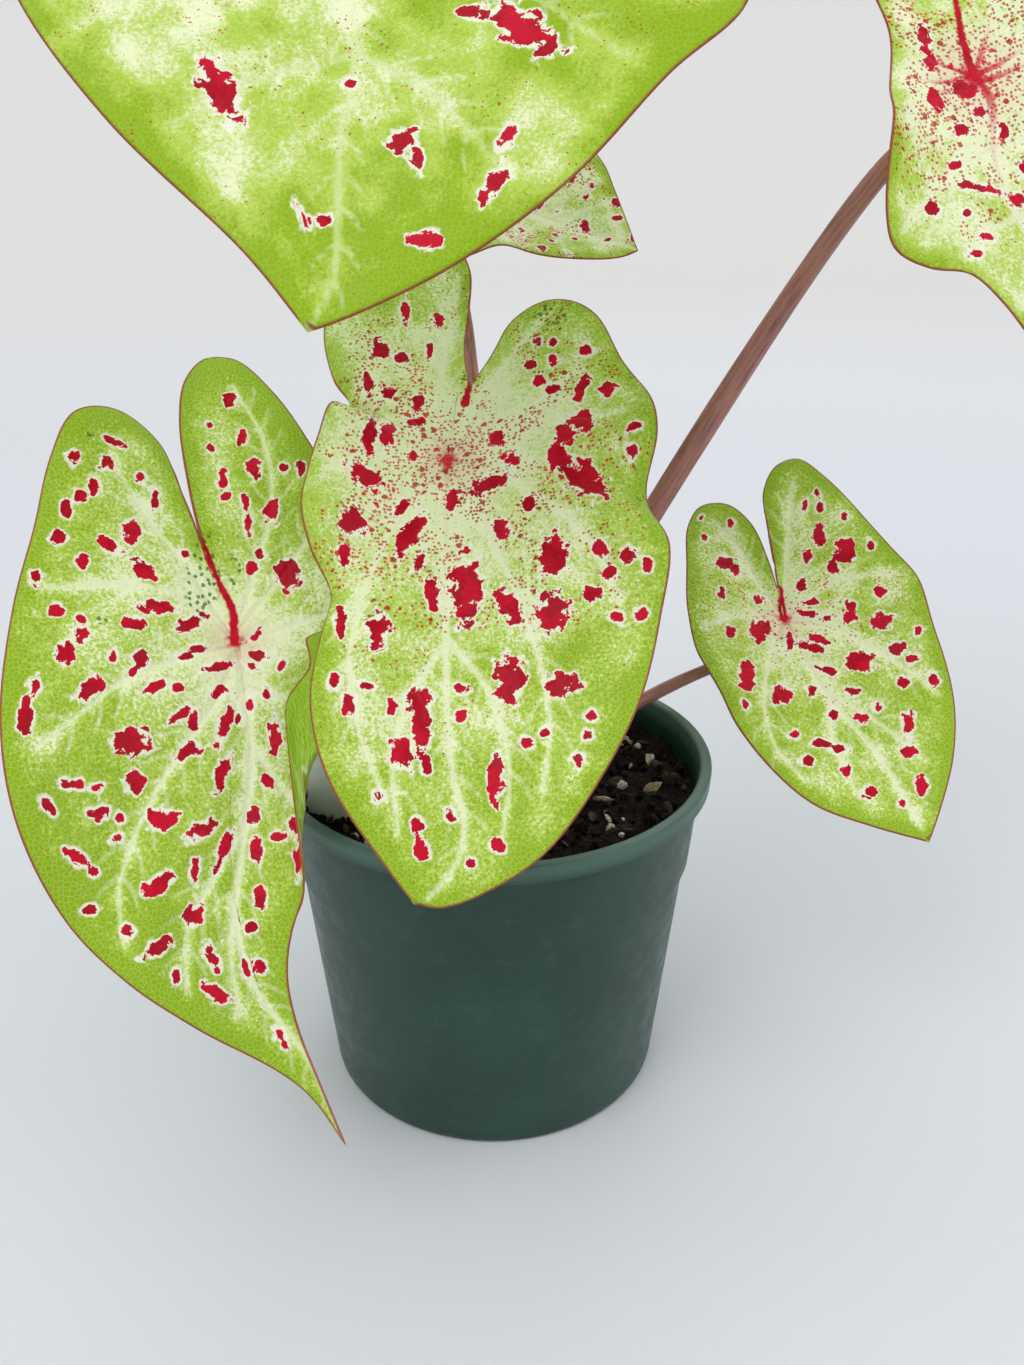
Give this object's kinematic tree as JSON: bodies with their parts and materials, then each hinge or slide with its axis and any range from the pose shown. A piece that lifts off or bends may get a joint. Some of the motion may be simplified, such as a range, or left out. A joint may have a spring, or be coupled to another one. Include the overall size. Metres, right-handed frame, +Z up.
{
  "type": "potted_caladium",
  "caption": "Caladium with heart-shaped lime and cream leaves splashed with crimson, on slim mauve stalks in a round green nursery pot of dark potting mix",
  "frame": {"origin": "centre of the pot's base, on the surface that the pot stands on", "axes": "+X to the right as the plant is seen from its open side, +Y from that side towards the rear leaf, +Z up"},
  "size_m": [0.2506, 0.2131, 0.3375],
  "materials": {
    "leaf_blade": "natural leaf, satin, lime with crimson splotches",
    "petiole_mauve": "natural leaf stalk, mauve brown, satin",
    "pot_green": "smooth moulded polypropylene, dark green",
    "soil_mix": "loose peat and bark with perlite, very matte",
    "tuber_bark": "corky skin, matte",
    "label_white": "blank white plastic strip"
  },
  "bodies": {
    "root": {"pot": "pot_green", "soil": "soil_mix", "tuber": "tuber_bark", "plant_label": "label_white", "left_leaf_blade": "leaf_blade", "left_leaf_petiole": "petiole_mauve", "centre_leaf_blade": "leaf_blade", "centre_leaf_petiole": "petiole_mauve", "top_leaf_blade": "leaf_blade", "top_leaf_petiole": "petiole_mauve", "rear_leaf_blade": "leaf_blade", "rear_leaf_petiole": "petiole_mauve", "high_right_leaf_blade": "leaf_blade", "high_right_leaf_petiole": "petiole_mauve", "low_right_leaf_blade": "leaf_blade", "low_right_leaf_petiole": "petiole_mauve"}
  },
  "joints": []
}
